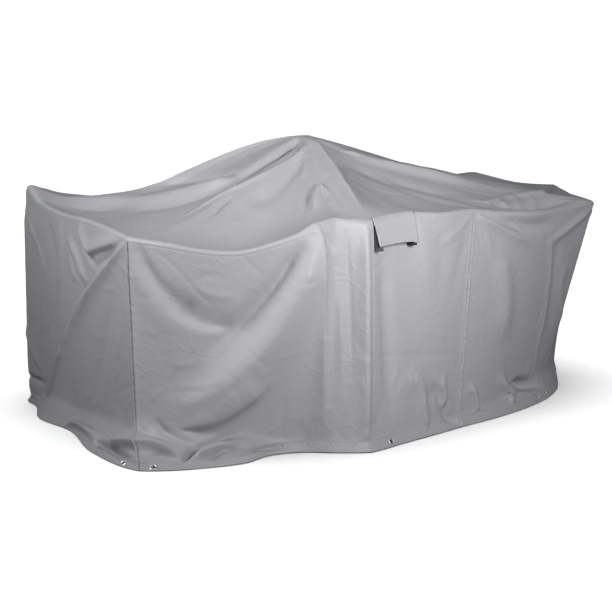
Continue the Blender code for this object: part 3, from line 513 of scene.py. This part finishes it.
class Wire:
    """A socket of a material's nodes. + and * with wires or numbers add Math nodes, node() any other node."""

    def __init__(self, tree, socket):
        self.tree, self.socket = tree, socket

    @classmethod
    def node(cls, tree, kind, settings=(), inputs=(), output=0):
        made = tree.nodes.new(kind)
        for name, value in dict(settings).items():
            setattr(made, name, value)
        for name, value in dict(inputs).items():
            if isinstance(value, Wire):
                tree.links.new(value.socket, made.inputs[name])
            else:
                made.inputs[name].default_value = value
        return cls(tree, made.outputs[output])

    def _math(self, operation, first, second):
        return Wire.node(self.tree, "ShaderNodeMath", {"operation": operation}, {0: first, 1: second})

    def __add__(self, other):
        return self._math("ADD", self, other)

    def __radd__(self, other):
        return self._math("ADD", other, self)

    def __mul__(self, other):
        return self._math("MULTIPLY", self, other)

    def __rmul__(self, other):
        return self._math("MULTIPLY", other, self)


def new_finish(name):
    """A new material, its node tree and its shader."""
    made = bpy.data.materials.new(name)
    made.use_nodes = True
    return made, made.node_tree, made.node_tree.nodes["Principled BSDF"]


def speckle(tree, place, scale, detail):
    """Soft noise of so many patches to the metre."""
    return Wire.node(tree, "ShaderNodeTexNoise", {}, {"Vector": place, "Scale": scale, "Detail": detail})


def blend(tree, mask, dark, light):
    """The colour that runs from dark to light as the mask runs from 0 to 1."""
    return Wire.node(tree, "ShaderNodeMix", {"data_type": "RGBA"}, {0: mask, 6: dark, 7: light}, 2)


CLOTH_LIGHT = (0.351, 0.351, 0.366, 1.0)
CLOTH_DARK = (0.308, 0.309, 0.325, 1.0)
CRUMPLE_DEPTH, GRAIN_DEPTH, WEAVE_DEPTH = 0.0034, 0.0008, 0.0004
FINE_CREASE_DEPTH = 0.0011
FINE_CREASE_CELLS = 9.0  # the finest creases run along the borders of cells, this many to the metre
FINE_CREASE_WIDTH = 0.055  # as a share of a cell


def coated_cloth(name):
    """Coated polyester: a satin face, faintly clouded, with a weave that follows the cloth's flat lengths.

    Its bump is the sum of a soft crumple, the grain, the weave and patches of fine straight creases.
    """
    made, tree, shader = new_finish(name)
    place = Wire.node(tree, "ShaderNodeTexCoord", output="Object")
    flat = Wire.node(tree, "ShaderNodeTexCoord", output="UV")
    clouds = speckle(tree, place, 5.0, 4.0)
    weave = speckle(tree, flat, 420.0, 2.0)
    crumple = speckle(tree, place, 38.0, 3.0)
    grain = speckle(tree, flat, 130.0, 3.0)
    borders = {"feature": "DISTANCE_TO_EDGE"}
    cells = Wire.node(tree, "ShaderNodeTexVoronoi", borders, {"Vector": place, "Scale": FINE_CREASE_CELLS})
    patches = speckle(tree, place, 7.0, 1.0)
    falling = {"Value": cells, "From Max": FINE_CREASE_WIDTH, "To Min": 1.0, "To Max": 0.0}
    line = Wire.node(tree, "ShaderNodeMapRange", {}, falling)
    where = Wire.node(tree, "ShaderNodeMapRange", {}, {"Value": patches, "From Min": 0.46, "From Max": 0.64})
    colour = blend(tree, clouds * 0.4 + grain * 0.45 + weave * 0.15, CLOTH_DARK, CLOTH_LIGHT)
    height = crumple * CRUMPLE_DEPTH + grain * GRAIN_DEPTH + weave * WEAVE_DEPTH
    height = height + line * where * FINE_CREASE_DEPTH
    relief = {"Height": height, "Strength": 0.6, "Distance": 1.0}
    bump = Wire.node(tree, "ShaderNodeBump", {}, relief, "Normal")
    tree.links.new(colour.socket, shader.inputs["Base Color"])
    tree.links.new((0.47 + clouds * 0.12).socket, shader.inputs["Roughness"])
    tree.links.new(bump.socket, shader.inputs["Normal"])
    shader.inputs["Specular IOR Level"].default_value = 0.4
    return made


CLOTH = coated_cloth("coated cloth")

roof_stations = np.concatenate([spaced_stations(*wall_span(k), ROOF_STATION_STEP)[:-1] for k in range(4)])
roof_down = lengths_down(roof_stations)
roof_rim = length_to(1.0, roof_down)
ROOF_FIRST_ROW = 0.004  # length from the peak
ROOF_SHARES = np.concatenate([np.linspace(0, 0.92, 60) ** 0.9, np.linspace(0.93, 0.99, 12)])
BELOW_RIM = np.array((-0.010, -0.006, -0.003, 0.0, 0.003, 0.006, 0.010, 0.0135, 0.0165, 0.0185, 0.020))
RUCK = 0.0010  # height of the small rucks in the turned-down band
RUCK_LENGTH = 0.021


def roof_rows():
    """Lengths from the peak to the roof's rows: shares of the way to the rim, then BELOW_RIM to the seam."""
    last = roof_rim + BELOW_RIM[0]
    rows = [share / ROOF_SHARES[-1] * (last - 0.006) for share in ROOF_SHARES[1:]]
    rows += [roof_rim + below for below in BELOW_RIM]
    return np.vstack([np.full(len(roof_stations), ROOF_FIRST_ROW), *rows])


lengths = roof_rows()
levels = levels_at(lengths, roof_down)
points, out, lift = draped(roof_stations, levels)
below = lengths - roof_rim
ruck = RUCK * np.sin(2 * math.pi * ring_lengths(roof_stations) / RUCK_LENGTH)
ruck = ruck * np.exp(-(((below - 0.014) / 0.008) ** 2))
lift = lift + (seam_relief(RIM_BAND - below) * (below > -0.02) + ruck) * rim_seam_strength(roof_stations)
flat = flat_map(ring_lengths(roof_stations, 1.0), lengths)
roof = cloth_mesh("roof_cloth", points + lift[..., None] * out, flat, ring=True)
roof.data.materials.append(CLOTH)
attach(roof, "root")
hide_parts("top_panel")

# ---- the walls ----
# Four lengths of the same cloth between upright sewn seams, hanging from the rim's seam to the hem. They
# fall in soft diagonal folds from the corners of the rim, with small puckers along each stitched seam.
WALL_PIECES = ("left_end", "front", "right_end", "back")
WALL_STATION_STEP = 0.0062
WALL_ROW_STEP = 0.009
WALL_FALL = 0.84  # length of wall between the close rows, for the number of rows
UPRIGHT_SEAM = 4.6  # how much stronger the upright seams are than the hem's
SEAM_PUCKER = 0.0016
SEAM_PUCKER_LENGTHS = (0.034, 0.021)
SEAM_PUCKER_REACH = 0.014
HEM_PUCKER = 0.0020
HEM_PUCKER_LENGTHS = (0.0165, 0.0247)
HEM_PUCKER_REACH = 0.012
HEM_PUCKER_SWELL = 0.61  # the hem's puckers grow and fade over this length
STITCHED_FLAT = 0.004  # over this distance a pucker grows from nothing at the stitched line


def seam_distances(s):
    """Distance along the cloth from each station to the nearest of the four upright seams."""
    here = np.interp(s, FINE, FINE_LENGTH)
    total = np.interp(ROUND, FINE, FINE_LENGTH) - np.interp(0, FINE, FINE_LENGTH)
    seams = np.array([np.interp(SECTION_AT[name], FINE, FINE_LENGTH) for name in SEAMS])
    gap = np.abs(here[:, None] - seams)
    return np.minimum(gap, np.abs(total - gap)).min(axis=1)


def dying_out(wave, distance, reach):
    """The wave times exp(-distance / reach), starting from nothing at the stitched line."""
    return wave * np.exp(-distance / reach) * (1 - np.exp(-distance / STITCHED_FLAT))


def seam_puckers(distance, down):
    """Short ripples across a seam: two sines down its length."""
    first, second = (2 * math.pi * down / length for length in SEAM_PUCKER_LENGTHS)
    wave = np.sin(first) + 0.7 * np.sin(second + 1.0)
    return dying_out(SEAM_PUCKER * wave, distance, SEAM_PUCKER_REACH)


def hem_puckers(round_length, above):
    """Slanting ripples above and below the hem's stitched line: two sines of the length round."""
    turn = 2 * math.pi * (round_length + 0.8 * above)
    first, second = (turn / length for length in HEM_PUCKER_LENGTHS)
    strength = 0.55 + 0.45 * np.sin(2 * math.pi * round_length / HEM_PUCKER_SWELL)
    wave = strength * np.sin(first) + 0.7 * np.sin(second + 0.8)
    return dying_out(HEM_PUCKER * wave, np.abs(above - HEM_DEPTH), HEM_PUCKER_REACH)


def wall_face(s, lengths, down, rim):
    """The walls' outer face at lengths from the peak: the draped cloth with its seams' relief and puckers."""
    levels = levels_at(lengths, down)
    points, out, lift = draped(s, levels)
    apart = seam_distances(s)[None]
    above = down[-1] - lengths
    rim_seam = seam_relief(lengths - rim - RIM_BAND) * rim_seam_strength(s)
    lift = lift + UPRIGHT_SEAM * seam_relief(apart) + rim_seam
    lift = lift + seam_relief(above - HEM_DEPTH) + seam_puckers(apart, lengths - rim)
    lift = lift + hem_puckers(np.interp(s, FINE, FINE_LENGTH)[None], above)
    return points + lift[..., None] * out, out


def wall_cloth(number):
    """One wall: rows of even length from the rim's seam to the hem's stitched line, closer at both."""
    s = spaced_stations(*wall_span(number), WALL_STATION_STEP)
    down = lengths_down(s)
    rim = length_to(1.0, down)
    first, last = rim + RIM_BAND, down[-1] - HEM_DEPTH
    steps = np.array(SEAM_STEPS)
    rows = [first, *(first + step for step in steps[:-1])]
    inner = np.linspace(0, 1, int(round(WALL_FALL / WALL_ROW_STEP)) + 1)
    rows += [first + steps[-1] + (last - first - 2 * steps[-1]) * share for share in inner]
    rows += [*(last - step for step in steps[:-1][::-1]), last]
    lengths = np.vstack(rows)
    flat = flat_map(np.interp(s, FINE, FINE_LENGTH), lengths)
    return cloth_mesh("wall_cloth_" + WALL_PIECES[number], wall_face(s, lengths, down, rim)[0], flat)


for number, name in enumerate(WALL_PIECES):
    wall = wall_cloth(number)
    wall.data.materials.append(CLOTH)
    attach(wall, "root")
    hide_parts("wall_" + name)

# ---- the hems and their eyelets ----
# The cloth's lower edge, turned up and stitched, lying on the floor in a wavy line. Bright rolled metal
# eyelets sit in it, each a neck through the hem with a rounded flange on both faces.
HEM_THICKNESS = 0.0014
HEM_ROWS = np.array((0.042, 0.0405, 0.0385, 0.0355, 0.0315, 0.026, 0.020, 0.014, 0.008, 0.003, 0.0))
HEM_STEP = 0.0045
HEM_EDGE_EASE = 0.006  # over this height the upright seams' relief dies out at the edge
HEM_CLEARANCE = 0.0006  # of its outer face above the floor
EYELETS = tuple(f"eyelet_{k:02d}" for k in range(1, 11))
EYELET_BORE = 0.0080
EYELET_FLANGE = 0.0150
EYELET_HALF = 0.0013  # half of the hem's thickness there, with play
EYELET_LIP = 0.0014
EYELET_NECK = 0.0010
EYELET_CUT = 0.0105  # radius of cloth cut away
EYELET_PRESS = (0.034, 0.016)  # radius of cloth pressed flat, and the part over which that eases
EYELET_FACE = 0.0010  # the pressed cloth's outer face, out from the eyelet's middle
EYELET_SIDES = 40


def eyelet_place(node):
    """Middle and outward direction of a CAD eyelet: its vertices' mean and direction of least spread."""
    places = np.array([vertex.co for vertex in frame["nodes"][node].data.vertices])
    middle = np.unique(places.round(6), axis=0).mean(axis=0)
    direction = np.linalg.svd(places - middle, full_matrices=False)[2][2]
    outward = np.array([middle[0], middle[1], 0.6])
    return middle, direction * np.sign(direction @ outward)


EYELET_PLACES = [eyelet_place(node) for node in EYELETS]


def about_eyelet(points, middle, outward):
    """Height along an eyelet's axis and distance from it."""
    offset = points - middle
    height = offset @ outward
    return height, np.linalg.norm(offset - height[..., None] * outward, axis=-1)


def flattened(points):
    """The hem pressed flat between each eyelet's flanges, easing back to its own shape round them."""
    reach, ease = EYELET_PRESS
    for middle, outward in EYELET_PLACES:
        height, radius = about_eyelet(points, middle, outward)
        near = np.clip((reach - radius) / ease, 0, 1) * (np.abs(height) < 0.03)
        near = near * near * (3 - 2 * near)
        points = points + (near * (EYELET_FACE - height))[..., None] * outward
    return points


def outside_bores(centres):
    """True for faces whose middle is outside every eyelet's bore."""
    keep = np.ones(len(centres), bool)
    for middle, outward in EYELET_PLACES:
        height, radius = about_eyelet(centres, middle, outward)
        keep &= (radius > EYELET_CUT) | (np.abs(height) > 0.02)
    return keep


def hem_face(s, heights):
    """The hem's outer face at heights above its edge: the draped cloth with its seams, flat at eyelets."""
    down = lengths_down(s)
    lengths = down[-1] - heights[:, None]
    levels = levels_at(lengths, down)
    points, out, lift = draped(s, levels)
    above = np.broadcast_to(heights[:, None], lengths.shape)
    round_length = np.interp(s, FINE, FINE_LENGTH)[None]
    across = UPRIGHT_SEAM * seam_relief(seam_distances(s)[None]) + hem_puckers(round_length, above)
    lift = lift + seam_relief(HEM_DEPTH - above) + across * np.clip(above / HEM_EDGE_EASE, 0, 1)
    points = flattened(points + lift[..., None] * out)
    points[..., 2] = np.maximum(points[..., 2], HEM_CLEARANCE)
    return points, out, flat_map(round_length, lengths)


def hem_cloth(number):
    """One hem: rows from the stitched line to the edge, with the cloth cut out inside each eyelet."""
    points, _, flat = hem_face(spaced_stations(*wall_span(number), HEM_STEP), HEM_ROWS)
    hem = cloth_mesh("hem_cloth_" + WALL_PIECES[number], points, flat, keep=outside_bores)
    thick = hem.modifiers.new("folded cloth", "SOLIDIFY")
    thick.thickness = HEM_THICKNESS
    thick.offset = -1
    return hem


def turned_about(name, profile_line, middle, outward, sides):
    """A closed profile of radii r and heights z carried round an axis: the points r cos a, r sin a, z."""
    angle = 2 * math.pi * np.arange(sides) / sides
    radius, height = np.array(profile_line).T
    x, y = radius[:, None] * np.cos(angle), radius[:, None] * np.sin(angle)
    places = np.stack([x, y, np.repeat(height[:, None], sides, 1)], -1)
    turn = np.array(Vector(outward).to_track_quat("Z", "Y").to_matrix())
    places = places.reshape(-1, 3) @ turn.T + middle
    i, j = np.meshgrid(np.arange(len(radius)), np.arange(sides), indexing="ij")
    below, beside = (i + 1) % len(radius), (j + 1) % sides
    faces = np.stack([i * sides + j, below * sides + j, below * sides + beside, i * sides + beside], -1)
    mesh = bpy.data.meshes.new(name)
    mesh.from_pydata(places.tolist(), [], faces.reshape(-1, 4).tolist())
    shape = bmesh.new()
    shape.from_mesh(mesh)
    bmesh.ops.recalc_face_normals(shape, faces=shape.faces)
    shape.to_mesh(mesh)
    shape.free()
    return laid_out(name, mesh)


def eyelet_profile():
    """Half circles for the two rolled flanges, with the neck and its bore between them."""
    roll = np.linspace(0, math.pi, 9)
    middle = (EYELET_BORE + EYELET_FLANGE) / 2
    wide = (EYELET_FLANGE - EYELET_BORE) / 2
    upper = [(middle - wide * math.cos(a), EYELET_HALF + EYELET_LIP * math.sin(a)) for a in roll]
    neck = [(EYELET_BORE + EYELET_NECK, EYELET_HALF), (EYELET_BORE + EYELET_NECK, -EYELET_HALF)]
    lower = [(middle + wide * math.cos(a), -EYELET_HALF - EYELET_LIP * math.sin(a)) for a in roll]
    return upper + neck + lower


def bright_metal(name):
    """Rolled aluminium: bright, a little dulled."""
    made, tree, shader = new_finish(name)
    dulled = speckle(tree, Wire.node(tree, "ShaderNodeTexCoord", output="Object"), 180.0, 2.0)
    shader.inputs["Base Color"].default_value = (0.86, 0.86, 0.85, 1.0)
    shader.inputs["Metallic"].default_value = 0.85
    tree.links.new((0.22 + dulled * 0.18).socket, shader.inputs["Roughness"])
    return made


METAL = bright_metal("eyelet metal")
for number, name in enumerate(WALL_PIECES):
    hem = hem_cloth(number)
    hem.data.materials.append(CLOTH)
    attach(hem, "root")
    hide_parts("hem_" + name)
for node, (middle, outward) in zip(EYELETS, EYELET_PLACES):
    ring = turned_about("ring_" + node, eyelet_profile(), middle, outward, EYELET_SIDES)
    ring.data.materials.append(METAL)
    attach(ring, "root")
    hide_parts(node)

# ---- the stitching ----
# Grey lockstitch in polyester thread: a line along the hem's fold, one below the rim's seam and one on each
# side of every upright seam. Each stitch is a small spindle on the cloth, its ends sunk into it.
STITCH_PITCH = 0.0056
STITCH_LENGTH = 0.0042
STITCH_WIDTH = 0.0005
STITCH_RISE = 0.0004
STITCH_SUNK = 0.2  # of its rise, for the ends
STITCH_INSET = 0.0045  # from the seam or the hem's fold to the line of stitches
STITCH_STOP = 0.002  # from an upright line's ends to the rim's seam and the hem
STITCH_SIDES = ((0, 4, 2), (0, 2, 5), (0, 5, 3), (0, 3, 4), (1, 2, 4), (1, 5, 2), (1, 3, 5), (1, 4, 3))
THREAD_DARK = (0.33, 0.33, 0.34, 1.0)
THREAD_LIGHT = (0.44, 0.44, 0.45, 1.0)


def spindles(path, out):
    """Eight-sided stitches on the steps of a path: ends just under the cloth, a raised and a wide middle."""
    middle = (path[1:] + path[:-1]) / 2
    along = unit(path[1:] - path[:-1])
    up = unit(out[1:] + out[:-1])
    across = np.cross(along, up)
    half = along * STITCH_LENGTH / 2
    corners = (
        middle - half - STITCH_SUNK * STITCH_RISE * up,
        middle + half - STITCH_SUNK * STITCH_RISE * up,
        middle + STITCH_RISE * up,
        middle - STITCH_RISE * up,
        middle + across * STITCH_WIDTH / 2,
        middle - across * STITCH_WIDTH / 2,
    )
    return np.stack(corners, axis=1)


def stitch_lines():
    """The stitches of every line, a pitch apart: along the hem and the rim, and down the upright seams."""
    start, end = np.interp((0, ROUND), FINE, FINE_LENGTH)
    s = np.interp(np.arange(start, end, STITCH_PITCH), FINE_LENGTH, FINE)
    path, out, _ = hem_face(s, np.array([HEM_DEPTH - STITCH_INSET]))
    found = [spindles(path[0], out[0])]
    down = lengths_down(s)
    rim = length_to(1.0, down)
    path, out = wall_face(s, (rim + RIM_BAND + STITCH_INSET)[None], down, rim)
    found.append(spindles(path[0], out[0]))
    for name in SEAMS:
        for side in (-1, 1):
            beside = np.interp(SECTION_AT[name], FINE, FINE_LENGTH) + side * STITCH_INSET
            s = np.interp(np.array([beside]), FINE_LENGTH, FINE)
            down = lengths_down(s)
            rim = length_to(1.0, down)
            first, last = rim[0] + RIM_BAND + STITCH_STOP, down[-1, 0] - HEM_DEPTH - STITCH_STOP
            steps = np.arange(first, last, STITCH_PITCH)
            path, out = wall_face(s, steps[:, None], down, rim)
            found.append(spindles(path[:, 0], out[:, 0]))
    return np.concatenate(found)


def stitch_thread(name):
    """Grey polyester thread, a little lighter than the cloth, mottled from stitch to stitch."""
    made, tree, shader = new_finish(name)
    mottle = speckle(tree, Wire.node(tree, "ShaderNodeTexCoord", output="Object"), 90.0, 1.0)
    colour = blend(tree, mottle, THREAD_DARK, THREAD_LIGHT)
    tree.links.new(colour.socket, shader.inputs["Base Color"])
    shader.inputs["Roughness"].default_value = 0.5
    return made


stitches = stitch_lines()
faces = np.array(STITCH_SIDES)[None] + np.arange(len(stitches))[:, None, None] * 6
stitch_mesh = bpy.data.meshes.new("stitching")
stitch_mesh.from_pydata(stitches.reshape(-1, 3).tolist(), [], faces.reshape(-1, 3).tolist())
stitching = laid_out("stitching", stitch_mesh)
stitching.data.materials.append(stitch_thread("grey thread"))
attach(stitching, "root")

# ---- the vent hood ----
# A small flap of the same cloth, sewn on behind the rim and held off the wall at its lower edge by a black
# block. A dark three-cornered gusset closes its left side, and its lower edge is turned up and stitched.
FLAP_STATIONS = (12.12, 13.15)
FLAP_LEVEL = 0.968
FLAP_DROP = (0.098, 0.116)  # from the rim to its lower edge, at its left and right
FLAP_THICKNESS = 0.0018
FLAP_SEWN_OFF = 0.0012  # how far it stands off the roof where it is sewn on
FLAP_SPRING = 0.0028  # and how much more a little below that
FLAP_STAND_OFF = 0.036  # and in all at its lower edge
FLAP_TURNING = 0.016  # from the lower edge up to its stitched line
FLAP_STEPS = 30


def vent_flap():
    """The wall's own surface moved out along its normals, by a distance that grows down the flap."""
    s = np.linspace(*FLAP_STATIONS, FLAP_STEPS + 1)
    down = lengths_down(s)
    rim = length_to(1.0, down)
    start = length_to(FLAP_LEVEL, down)
    share = np.linspace(0, 1, FLAP_STEPS + 1)[:, None]
    drop = np.linspace(*FLAP_DROP, FLAP_STEPS + 1)
    lengths = start + (rim + drop - start) * share
    levels = levels_at(lengths, down)
    points, out, lift = draped(s, levels)
    below = np.clip((lengths - rim) / drop, 0, 1)
    off = FLAP_SEWN_OFF + FLAP_SPRING * np.clip(share / 0.15, 0, 1)
    off = off + (FLAP_STAND_OFF - (FLAP_SEWN_OFF + FLAP_SPRING)) * below
    hem_line = np.abs(rim + drop - lengths - FLAP_TURNING)
    off = off - 0.0012 * np.exp(-((hem_line / 0.003) ** 2))
    flat = flat_map(ring_lengths(s), lengths)
    flap = cloth_mesh("flap_cloth", points + (lift + off)[..., None] * out, flat)
    thick = flap.modifiers.new("turned cloth", "SOLIDIFY")
    thick.thickness = FLAP_THICKNESS
    thick.offset = 1
    return flap


flap = vent_flap()
flap.data.materials.append(CLOTH)
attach(flap, "root")
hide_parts("vent_flap")


def dull_dark(name, colour, roughness):
    """One dark colour, evenly dull."""
    made, _, shader = new_finish(name)
    shader.inputs["Base Color"].default_value = (*colour, 1.0)
    shader.inputs["Roughness"].default_value = roughness
    return made


for node, finish in (
    ("vent_gusset", dull_dark("gusset mesh", (0.07, 0.07, 0.075), 0.8)),
    ("vent_prop", dull_dark("black block", (0.012, 0.012, 0.012), 0.45)),
):
    for held in frame["nodes"][node].material_slots:
        held.material = finish

# ---- the studio ----
# A wide pale floor under a light of its own from straight above, and a surround that shows white. Only the
# camera sees them. The cover is lit by one soft box in front, aimed just over its front rim, a fill from
# its left and a low even light all round.
FLOOR_SIZE = 240.0
AIM = Vector(ORIGIN) + Vector((0.00, -0.70, 1.16))
LIGHTS = (
    ("key", 1.0, 12.0, 3.0, 1.0, 70.0, 24.5),
    ("fill", -98.0, 24.0, 2.9, 1.2, 100.0, 27.0),
)  # name, degrees from -Y towards +X, degrees up, metres from AIM, size, spread in degrees, watts
SURROUND_LIGHT = 0.15
SURROUND_COLOUR = (0.93, 0.96, 1.0, 1.0)


def pale_stage(name, albedo, glow):
    """A stage surface: dull and pale, or giving the camera an even white."""
    made, _, shader = new_finish(name)
    shader.inputs["Base Color"].default_value = (albedo, albedo, albedo, 1.0)
    shader.inputs["Roughness"].default_value = 0.9
    shader.inputs["Specular IOR Level"].default_value = 0.0
    shader.inputs["Emission Color"].default_value = (1.0, 1.0, 1.0, 1.0)
    shader.inputs["Emission Strength"].default_value = glow
    return made


bpy.ops.mesh.primitive_plane_add(size=FLOOR_SIZE, location=(0, 0, -0.0006))
floor = bpy.context.object
floor.name = "floor"
floor.data.materials.append(pale_stage("pale floor", 0.92, 0.0))
bpy.ops.mesh.primitive_uv_sphere_add(radius=FLOOR_SIZE * 0.49, segments=48, ring_count=24)
surround = bpy.context.object
surround.name = "surround"
surround.data.materials.append(pale_stage("pale surround", 0.0, 1.0))
surround.visible_shadow = False
for stage in (floor, surround):
    stage.visible_diffuse = False
    stage.visible_glossy = False

floor_only = bpy.data.collections.new("lit from above")
floor_only.objects.link(floor)
cover_only = bpy.data.collections.new("lit by the soft box and the fill")
for piece in bpy.context.scene.objects:
    if piece.type == "MESH" and piece not in (floor, surround):
        cover_only.objects.link(piece)
sun = bpy.data.lights.new("above", "SUN")
sun.energy = 3.6
sun.angle = math.radians(60)
above = bpy.data.objects.new("above", sun)
above.light_linking.receiver_collection = floor_only
bpy.context.scene.collection.objects.link(above)
for name, azimuth, elevation, distance, size, spread, power in LIGHTS:
    lamp = bpy.data.lights.new(name, "AREA")
    lamp.size = size
    lamp.spread = math.radians(spread)
    lamp.energy = power
    light = bpy.data.objects.new(name, lamp)
    light.light_linking.receiver_collection = cover_only
    bpy.context.scene.collection.objects.link(light)
    turn, rise = math.radians(azimuth), math.radians(elevation)
    way = Vector((math.sin(turn) * math.cos(rise), -math.cos(turn) * math.cos(rise), math.sin(rise)))
    light.location = AIM + distance * way
    light.rotation_euler = way.to_track_quat("Z", "Y").to_euler()

world = bpy.data.worlds.new("low even light")
bpy.context.scene.world = world
world.use_nodes = True
world.node_tree.nodes["Background"].inputs["Color"].default_value = SURROUND_COLOUR
world.node_tree.nodes["Background"].inputs["Strength"].default_value = SURROUND_LIGHT

# The camera has a long lens and looks down on the cover from the left of its front.
CAMERA_BACK = 8.6
CAMERA_HEIGHT = 1.935
CAMERA_AZIMUTH = math.radians(27)
CAMERA_PITCH = math.radians(10)
lens = bpy.data.cameras.new("view")
lens.lens = 120
lens.sensor_width = 36
camera = bpy.data.objects.new("view", lens)
bpy.context.scene.collection.objects.link(camera)
left, front = CAMERA_BACK * math.sin(CAMERA_AZIMUTH), CAMERA_BACK * math.cos(CAMERA_AZIMUTH)
camera.location = Vector(ORIGIN) + Vector((-left, -front, CAMERA_HEIGHT))
camera.rotation_euler = (math.pi / 2 - CAMERA_PITCH, 0, -CAMERA_AZIMUTH)
bpy.context.scene.camera = camera
bpy.context.scene.view_settings.view_transform = "Standard"
